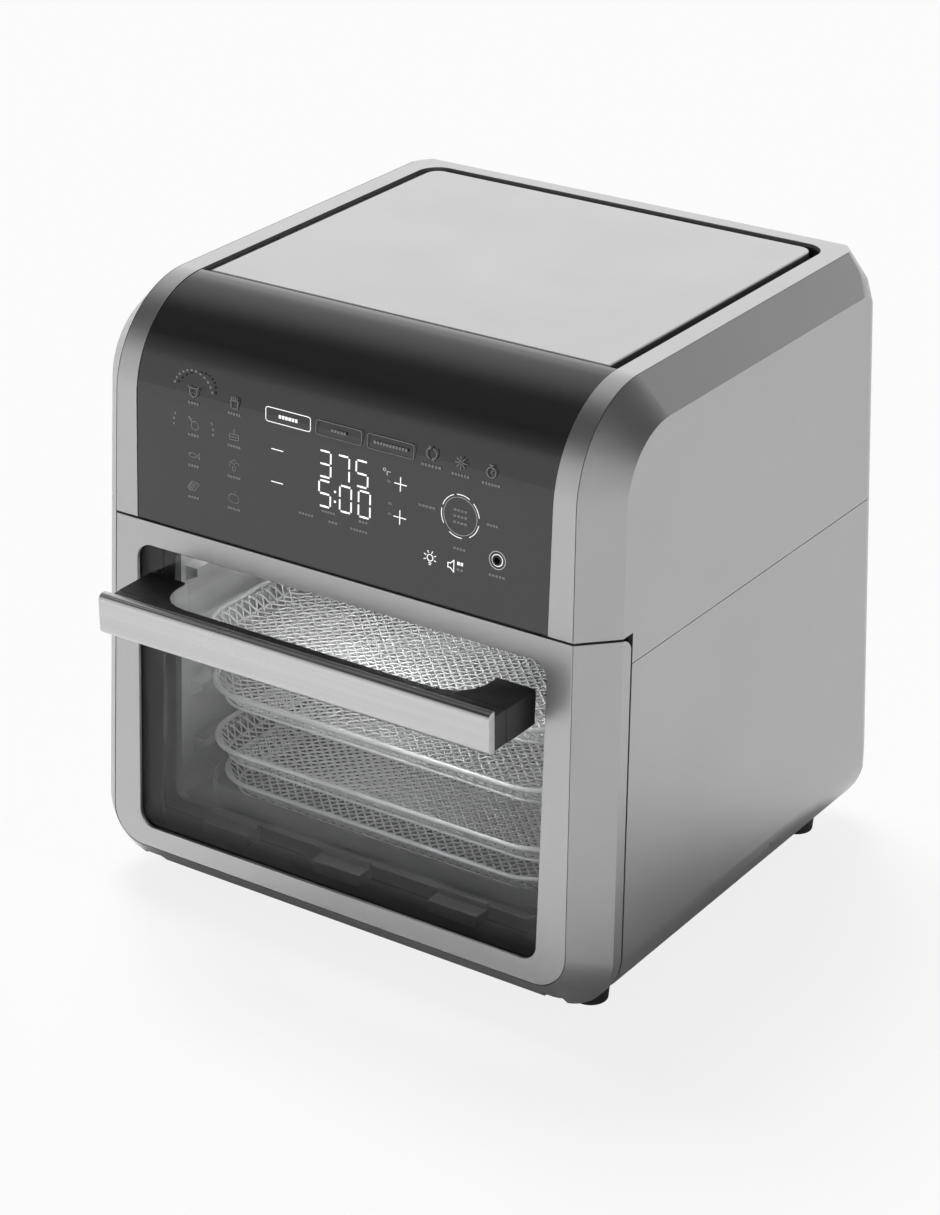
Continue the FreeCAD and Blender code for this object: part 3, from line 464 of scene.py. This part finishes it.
def wire_loop(bm, low, high, corner, height, radius, sides=10, steps=9):
    """A round wire bent into a rounded rectangle; low and high are its outer limits in X and Y."""
    (x0, y0), (x1, y1) = (low[0] + radius, low[1] + radius), (high[0] - radius, high[1] - radius)
    place = Matrix.Translation((x0 + corner, y0, height)) @ Matrix.Rotation(math.radians(90), 4, "Y")
    made = bmesh.ops.create_circle(bm, radius=radius, segments=sides, matrix=place)["verts"]
    edges = list({e for v in made for e in v.link_edges})
    across, along = x1 - x0 - 2 * corner, y1 - y0 - 2 * corner
    swept(bm, edges, [
        (across, 0, 0), ((x1 - corner, y0 + corner, height), 90, steps, Z),
        (0, along, 0), ((x1 - corner, y1 - corner, height), 90, steps, Z),
        (-across, 0, 0), ((x0 + corner, y1 - corner, height), 90, steps, Z),
        (0, -along, 0), ((x0 + corner, y0 + corner, height), 90, steps, Z)])
    bmesh.ops.remove_doubles(bm, verts=bm.verts, dist=WELD)


MESH_PITCH, MESH_WIRE = 4.6 * MM, 0.95 * MM
MESH_FLOOR, MESH_SLOPE = 1.0 * MM, 11 * MM      # the mesh above the tray's lowest point, and its wall's width in plan
RIM_R, RIM_CORNER, RIM_DROP = 1.6 * MM, 34 * MM, 4.4 * MM
FOOT_WIRE, FOOT_INSET, FOOT_HEIGHT = 0.9 * MM, 7.5 * MM, 1.6 * MM


def cut_to_outline(bm, centre, half, corner):
    """Keeps what is inside a rounded rectangle."""
    for degrees in range(0, 360, 15):
        out = Vector((math.cos(math.radians(degrees)), math.sin(math.radians(degrees)), 0))
        core = Vector((math.copysign(half[0] - corner, out.x), math.copysign(half[1] - corner, out.y), 0))
        bmesh.ops.bisect_plane(bm, geom=bm.verts[:] + bm.edges[:] + bm.faces[:], dist=1e-7,
                               plane_co=Vector(centre) + core + out * corner, plane_no=out, clear_outer=True)


def woven_basket(bm, centre, half, corner, depth, wall):
    """Two crossing layers of crimped wires, pressed into a shallow basket hung from its outline."""
    count = int(math.hypot(*half) / MESH_PITCH) + 1
    for turn, sense in ((45, 1), (-45, -1)):
        made = bmesh.ops.create_grid(bm, x_segments=2 * count, y_segments=4 * count + 1, size=1.0)["verts"]
        for v in made:
            i, j = round((v.co.x + 1) * count), round((v.co.y + 1) * (4 * count + 1) / 2)
            side = 0.5 if j % 2 else -0.5
            crimp = (1 if (i + j // 2) % 2 else -1) * sense * MESH_WIRE * 0.45
            v.co = ((i - count) * MESH_PITCH, (j // 2 - count) * MESH_PITCH + side * MESH_WIRE, crimp)
        between = [f for f in {f for v in made for f in v.link_faces}
                   if max(v.co.y for v in f.verts) - min(v.co.y for v in f.verts) > MESH_WIRE * 1.5]
        bmesh.ops.delete(bm, geom=between, context="FACES")
        left = [v for v in made if v.is_valid]
        bmesh.ops.rotate(bm, verts=left, cent=(0, 0, 0), matrix=Matrix.Rotation(math.radians(turn), 3, "Z"))
        bmesh.ops.translate(bm, verts=left, vec=centre)
    cut_to_outline(bm, centre, half, corner)
    for v in bm.verts:
        qx = max(abs(v.co.x - centre[0]) - half[0] + corner, 0)
        qy = max(abs(v.co.y - centre[1]) - half[1] + corner, 0)
        inside = min(max((corner - math.hypot(qx, qy)) / wall, 0), 1)
        v.co.z -= depth * inside * inside * (3 - 2 * inside)
    bmesh.ops.solidify(bm, geom=bm.faces[:], thickness=MESH_WIRE * 0.8)


def tray(node):
    """A wire rim, a thinner wire where the wall meets the floor, and the woven basket."""
    low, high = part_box(node)
    body, slot = BODY_OF[node], SLOT_OF[node]
    rim_height = high.z - RIM_DROP + RIM_R
    rim = bmesh.new()
    wire_loop(rim, low, high, RIM_CORNER, rim_height, RIM_R)
    inset = Vector((FOOT_INSET, FOOT_INSET, 0))
    wire_loop(rim, low + inset, high - inset, RIM_CORNER - FOOT_INSET, low.z + FOOT_HEIGHT, FOOT_WIRE, sides=8)
    piece(node + "_wires", rim, body, slot, replaces=[node], crease=180)
    basket = bmesh.new()
    centre = ((low.x + high.x) / 2, (low.y + high.y) / 2, rim_height)
    half = ((high.x - low.x) / 2 - RIM_R, (high.y - low.y) / 2 - RIM_R)
    woven_basket(basket, centre, half, RIM_CORNER, rim_height - low.z - MESH_FLOOR, MESH_SLOPE)
    piece(node + "_weave", basket, body, slot, crease=180)


for node in TRAYS:
    tray(node)

# ---------------------------------------------------------------- fascia marks

# The marks are drawn in mm on a flat X-Z plane, and leaned onto the front afterwards.
FRONT_LEAN = 0.0616
FRONT_AT_TOP, OVEN_TOP, FASCIA_SET_BACK = -128.6, 373.4, 0.3
MARK, MARK_LIFT = 0.16, 0.02    # thickness of a mark, and its face in front of the fascia


def block(bm, x, z, width, height, turn=0.0):
    """A thin bar drawn on the fascia, turned anticlockwise as seen from the front."""
    place = (Matrix.Translation((x, 0, z)) @ Matrix.Rotation(math.radians(-turn), 4, "Y")
             @ Matrix.Diagonal((width, MARK, height, 1)))
    bmesh.ops.create_cube(bm, size=1.0, matrix=place)


def arc(bm, x, z, radius, stroke, start=0.0, sweep=360.0, steps=None):
    """A stroke along a circle, from a start angle through a sweep in degrees."""
    place = Matrix.Translation((x + radius, 0, z)) @ Matrix.Diagonal((stroke, MARK, 1, 1))
    section = bmesh.ops.create_grid(bm, x_segments=1, y_segments=1, size=0.5, matrix=place)["verts"]
    turn = Matrix.Rotation(math.radians(-start), 3, "Y")
    bmesh.ops.rotate(bm, verts=section, cent=(x, 0, z), matrix=turn)
    faces = list({f for v in section for f in v.link_faces})
    steps = steps or max(4, int(abs(sweep) / 15))
    bmesh.ops.spin(bm, geom=faces, cent=(x, 0, z), axis=(0, -1, 0), angle=math.radians(sweep), steps=steps,
                   use_merge=sweep == 360)


def spot(bm, x, z, radius):
    """A filled dot."""
    place = Matrix.Translation((x, 0, z)) @ Matrix.Rotation(math.radians(90), 4, "X")
    bmesh.ops.create_cone(bm, cap_ends=True, segments=16, radius1=radius, radius2=radius, depth=MARK, matrix=place)


def line(bm, x0, z0, x1, z1, stroke):
    """A straight stroke that runs a little past both its ends."""
    block(bm, (x0 + x1) / 2, (z0 + z1) / 2, math.hypot(x1 - x0, z1 - z0) + stroke * 0.6, stroke,
          math.degrees(math.atan2(z1 - z0, x1 - x0)))


def path(bm, x, z, points, stroke, closed=False):
    """Short straight strokes through points given about (x, z)."""
    ends = points[1:] + ([points[0]] if closed else [])
    for (a, b), (c, d) in zip(points, ends):
        line(bm, x + a, z + b, x + c, z + d, stroke)


def button(bm, x, z, width, height, stroke, corner=1.6):
    """The outline of a rounded button."""
    w, h = width / 2, height / 2
    for sx, sz, start in ((1, 1, 0), (-1, 1, 90), (-1, -1, 180), (1, -1, 270)):
        arc(bm, x + sx * (w - corner), z + sz * (h - corner), corner, stroke, start, 90, 4)
    for side in (-1, 1):
        block(bm, x, z + side * h, width - 2 * corner, stroke)
        block(bm, x + side * w, z, stroke, height - 2 * corner)


def caption(bm, x, z, width, height=1.1):
    """A row of dashes where a word would be."""
    count = max(2, round(width / 2.1))
    for i in range(count):
        block(bm, x - width / 2 + (i + 0.5) * width / count, z, width / count * 0.72, height)


def ray(bm, x, z, inner, outer, angle, stroke):
    """A stroke pointing out from (x, z), between two distances."""
    c, s = math.cos(math.radians(angle)), math.sin(math.radians(angle))
    line(bm, x + inner * c, z + inner * s, x + outer * c, z + outer * s, stroke)


DASH_RING, DASH_STEP = 14.2, 13.0


def ring_of_dashes(bm, x, z, start, sweep):
    """Short dashes along an arc, where a curved word would be."""
    for i in range(round(sweep / DASH_STEP)):
        angle = start + (i + 0.5) * DASH_STEP
        a = math.radians(angle)
        block(bm, x + DASH_RING * math.cos(a), z + DASH_RING * math.sin(a), 1.5, 1.1, angle - 90)


SEGMENTS = {"0": "abcdef", "3": "abcdg", "5": "acdfg", "7": "abc"}
DIGIT_WIDTH, DIGIT_HEIGHT, DIGIT_STROKE, DIGIT_GAP = 7.8, 15.0, 1.0, 1.05


def digit(bm, number, x, z):
    """A seven-segment number about (x, z)."""
    w, h = DIGIT_WIDTH / 2, DIGIT_HEIGHT / 2
    spans = {"a": (-w, h, w, h), "g": (-w, 0, w, 0), "d": (-w, -h, w, -h), "b": (w, 0, w, h), "c": (w, -h, w, 0),
             "f": (-w, 0, -w, h), "e": (-w, -h, -w, 0)}
    for name in SEGMENTS[number]:
        x0, z0, x1, z1 = spans[name]
        cut = DIGIT_GAP / math.hypot(x1 - x0, z1 - z0)
        dx, dz = (x1 - x0) * cut, (z1 - z0) * cut
        line(bm, x + x0 + dx, z + z0 + dz, x + x1 - dx, z + z1 - dz, DIGIT_STROKE)
        if name in "adg":
            line(bm, x - 0.35, z + z0, x + 0.35, z + z0, DIGIT_STROKE)


def plus(bm, x, z, size, stroke):
    """An upright cross."""
    block(bm, x, z, size, stroke)
    block(bm, x, z, stroke, size)


def lit_marks():
    """The numbers, the chosen button, the plus and minus signs, the dial, the light, the sound and the jack's ring."""
    bm = bmesh.new()
    for number, x, z in (("3", -7.7, 305.0), ("7", 4.9, 305.0), ("5", 17.5, 305.0),
                         ("5", -7.7, 287.6), ("0", 6.6, 287.6), ("0", 19.4, 287.6)):
        digit(bm, number, x, z)
    for z in (284.6, 290.4):
        block(bm, -0.6, z, 1.3, 1.3)
    button(bm, -33.5, 325.5, 31.0, 8.4, 0.42)
    caption(bm, -33.5, 325.5, 13.5, 1.9)
    for z in (305.7, 286.4):
        block(bm, -40.8, z, 8.2, 0.55)
        plus(bm, 43.4, z - 0.5, 8.4, 0.55)
    for start in (8, 62, 112, 170, 236, 300):
        arc(bm, 83.2, 296.2, 12.4, 0.42, start, 40 if start not in (112, 300) else 48)
    arc(bm, 64.1, 267.6, 1.9, 0.5)
    block(bm, 64.1, 264.6, 1.9, 0.5)
    block(bm, 64.1, 263.6, 1.3, 0.5)
    for angle in range(-20, 201, 44):
        ray(bm, 64.1, 267.6, 3.0, 4.2, angle, 0.5)
    path(bm, 78.6, 266.6, [(-2.6, -1.3), (-1.0, -1.3), (1.3, -3.4), (1.3, 3.4), (-1.0, 1.3), (-2.6, 1.3)], 0.5, True)
    caption(bm, 84.0, 268.9, 4.4, 1.9)
    arc(bm, 108.0, 277.0, 2.75, 1.7)
    return bm


def half_marks():
    """The degree sign, the dial's thin ring and the jack's outer ring."""
    bm = bmesh.new()
    arc(bm, 32.6, 311.4, 0.8, 0.4)
    block(bm, 35.4, 310.6, 2.4, 0.5)
    block(bm, 34.4, 309.6, 0.5, 2.5)
    arc(bm, 83.2, 296.2, 10.9, 0.2)
    arc(bm, 108.0, 277.0, 5.2, 0.4)
    return bm


def dim_marks():
    """The two buttons not chosen, two columns of food symbols, three more symbols, and a bar for every word."""
    bm = bmesh.new()
    for x in (1.2, 36.2):
        button(bm, x, 325.5, 31.0, 8.4, 0.32)
    caption(bm, 1.2, 325.5, 10.5, 1.6)
    caption(bm, 36.2, 325.5, 23.0, 1.6)
    rows = (326.6, 307.4, 289.0, 270.0)
    for column in (-100.5, -71.3):
        for row in rows:
            caption(bm, column, row - 6.6, 8.0 if column < -90 else 9.5, 1.5)
    ring_of_dashes(bm, -100.5, 325.0, 10, 160)
    ring_of_dashes(bm, -100.5, 305.6, 150, 45)
    ring_of_dashes(bm, -100.5, 305.6, -12, 45)
    x, z = -100.5, rows[0]
    path(bm, x, z, [(-2.6, 2.2), (2.6, 2.2), (2.6, -1.4), (0, -3.2), (-2.6, -1.4)], 0.45, True)
    path(bm, x, z, [(-3.8, 3.2), (-2.6, 2.2)], 0.45)
    path(bm, x, z, [(3.8, 3.2), (2.6, 2.2)], 0.45)
    spot(bm, x - 1.0, z - 0.6, 0.35)
    spot(bm, x + 1.0, z - 0.6, 0.35)
    z = rows[1]
    arc(bm, x + 1.2, z - 0.6, 2.5, 0.45)
    path(bm, x, z, [(-0.6, 1.2), (-2.6, 3.4)], 0.9)
    spot(bm, x - 3.0, z + 3.6, 0.7)
    z = rows[2]
    arc(bm, x - 0.4, z - 2.6, 4.0, 0.45, 38, 104)
    arc(bm, x - 0.4, z + 2.6, 4.0, 0.45, 218, 104)
    path(bm, x, z, [(2.8, 0), (4.6, 1.9), (4.6, -1.9)], 0.45, True)
    spot(bm, x - 2.2, z + 0.4, 0.4)
    z = rows[3]
    for shift in (-1.6, 0.0, 1.6):
        path(bm, x, z, [(-2.4 + shift, -2.0), (1.0 + shift, 2.6)], 0.5)
    path(bm, x, z, [(-4.4, -1.2), (-2.4, -2.6), (0.8, -2.6), (4.2, 1.8), (2.2, 3.2), (-1.0, 3.2)], 0.4, True)
    x, z = -71.3, rows[0]
    path(bm, x, z, [(-2.6, 1.0), (2.6, 1.0), (2.1, -3.4), (-2.1, -3.4)], 0.45, True)
    for k in (-1.8, -0.6, 0.6, 1.8):
        path(bm, x, z, [(k, 1.0), (k * 1.2, 3.6 - abs(k) * 0.3)], 0.45)
    z = rows[1]
    path(bm, x, z, [(-3.2, -2.8), (3.2, -2.8), (3.2, 0.6), (-3.2, 0.6)], 0.45, True)
    path(bm, x, z, [(-3.2, -1.1), (3.2, -1.1)], 0.4)
    path(bm, x, z, [(0, 0.6), (0, 2.4)], 0.45)
    spot(bm, x, z + 3.1, 0.5)
    z = rows[2]
    for dx, dz, r in ((-1.9, 0.8, 1.5), (0, 1.9, 1.8), (1.9, 0.8, 1.5)):
        arc(bm, x + dx, z + dz, r, 0.42, 0 if dx else 20, 200 if not dx else 250)
    path(bm, x, z, [(-0.9, 0.0), (-0.9, -2.8), (0.9, -2.8), (0.9, 0.0)], 0.45)
    z = rows[3]
    arc(bm, x - 1.2, z - 0.4, 2.5, 0.45, 70, 220)
    arc(bm, x + 1.2, z - 0.4, 2.5, 0.45, 250, 220)
    path(bm, x, z, [(0, 2.0), (1.3, 3.8)], 0.45)
    x, z = 63.3, 327.4
    arc(bm, x, z, 3.3, 0.5, 100, 150)
    arc(bm, x, z, 3.3, 0.5, 280, 150)
    path(bm, x, z, [(-1.8, 4.2), (-0.5, 3.2), (-1.7, 2.0)], 0.45)
    path(bm, x, z, [(1.8, -4.2), (0.5, -3.2), (1.7, -2.0)], 0.45)
    caption(bm, x, z - 7.0, 13.5, 1.5)
    x, z = 82.5, 326.6
    for angle in range(0, 360, 45):
        ray(bm, x, z, 1.5, 3.6, angle, 0.45)
    arc(bm, x, z, 0.9, 0.4)
    caption(bm, x, z - 7.0, 12.0, 1.5)
    x, z = 102.2, 326.0
    arc(bm, x, z - 0.4, 2.9, 0.5)
    path(bm, x, z - 0.4, [(0, 0), (1.2, 1.3)], 0.45)
    path(bm, x, z, [(-1.0, 3.7), (1.0, 3.7)], 0.5)
    path(bm, x, z, [(0, 2.6), (0, 3.7)], 0.45)
    caption(bm, x, z - 7.0, 12.0, 1.5)
    for x, z, width in ((61.2, 296.6, 11.5), (104.0, 296.0, 7.5), (83.2, 277.4, 8.5), (108.0, 267.8, 11.0),
                        (84.0, 265.4, 5.0), (35.6, 305.2, 2.6), (36.6, 292.6, 2.6), (36.6, 286.6, 2.6),
                        (-5.0, 277.2, 9.6), (18.8, 277.2, 6.6), (-20.4, 272.4, 10.4), (-1.8, 272.0, 6.6),
                        (16.0, 271.6, 12.0)):
        caption(bm, x, z, width, 1.4)
    for z in (299.4, 295.9, 292.4):
        caption(bm, 83.2, z, 9.4, 1.3)
    return bm


def print_on_fascia(name, bm, material):
    """Scales marks drawn in mm, leans them onto the front plane and puts them on the fascia."""
    for v in bm.verts:
        v.co.y += FRONT_AT_TOP - FRONT_LEAN * (OVEN_TOP - v.co.z) + FASCIA_SET_BACK - MARK / 2 - MARK_LIFT
    bmesh.ops.scale(bm, verts=bm.verts, vec=(MM, MM, MM))
    piece(name, bm, BODY_OF["control_fascia"], "display_dark", material)


print_on_fascia("fascia_lit_marks", lit_marks(), PRINT_BRIGHT)
print_on_fascia("fascia_half_lit_marks", half_marks(), PRINT_MID)
print_on_fascia("fascia_dim_marks", dim_marks(), PRINT_DIM)

# ---------------------------------------------------------------- studio


BACK_LEFT, BACK_LEFT_GLOW = (-0.51, 0.74, 0.43), 0.62
WALL_GLOW, OVERHEAD_GLOW = 0.78, 0.015
AIR_SEEN = 0.97
FLOOR_RADIUS = 14.0


def glow_towards(tree, direction, toward, spread, glow):
    """A soft round glow in the air: spread is the cosine range over which it rises, glow its two brightnesses."""
    aligned = put(tree, "ShaderNodeVectorMath", {"operation": "DOT_PRODUCT"}, i0=direction, i1=toward)
    rise = put(tree, "ShaderNodeMapRange", {"interpolation_type": "SMOOTHSTEP"}, Value=aligned.outputs["Value"],
               i1=spread[0], i2=spread[1], i3=glow[0], i4=glow[1])
    return rise.outputs[0]


def lay_floor():
    """A wide pale floor that camera rays see as nearly as bright as the air behind it."""
    floor_bm = bmesh.new()
    bmesh.ops.create_circle(floor_bm, cap_ends=True, radius=FLOOR_RADIUS, segments=64)
    mesh = bpy.data.meshes.new("studio_floor")
    floor_bm.to_mesh(mesh)
    floor_bm.free()
    floor = bpy.data.objects.new("studio_floor", mesh)
    SCENE.collection.objects.link(floor)
    material, tree, shader = new_material("studio_floor_white")
    shader.inputs["Base Color"].default_value = grey(0.80)
    shader.inputs["Roughness"].default_value = 0.9
    shader.inputs["Specular IOR Level"].default_value = 0.0
    lit = put(tree, "ShaderNodeEmission", Color=grey(1.0), Strength=AIR_SEEN)
    seen = put(tree, "ShaderNodeMath", {"operation": "MULTIPLY"}, i0=put(tree, "ShaderNodeLightPath").outputs[0],
               i1=0.86)
    mix = put(tree, "ShaderNodeMixShader", i0=seen.outputs[0], i1=shader.outputs[0], i2=lit.outputs[0])
    tree.links.new(mix.outputs[0], tree.nodes["Material Output"].inputs[0])
    mesh.materials.append(material)


def fill_air():
    """Even light from low down all round and a glow from behind on the left, seen by the camera as plain white."""
    world = bpy.data.worlds.new("studio_air")
    SCENE.world = world
    world.use_nodes = True
    tree = world.node_tree
    back = tree.nodes["Background"]
    direction = put(tree, "ShaderNodeTexCoord").outputs["Generated"]
    light = glow_towards(tree, direction, BACK_LEFT, (0.55, 0.95), (0.0, BACK_LEFT_GLOW))
    wall = glow_towards(tree, direction, Z, (0.30, 0.68), (WALL_GLOW, OVERHEAD_GLOW))
    light = put(tree, "ShaderNodeMath", {"operation": "ADD"}, i0=light, i1=wall).outputs[0]
    seen = put(tree, "ShaderNodeLightPath").outputs[0]
    mix = put(tree, "ShaderNodeMix", {"data_type": "FLOAT"}, i0=seen, i2=light, i3=AIR_SEEN)
    tree.links.new(mix.outputs[0], back.inputs["Color"])


lay_floor()
fill_air()
sun("high_wash", (-0.9, 0.7, 2.2), 3.1, 28)
lamp("cavity_lamp", (-0.02, -0.06, 0.238), (0.0, 0.0, 0.1), (0.2, 0.1), 1.9)
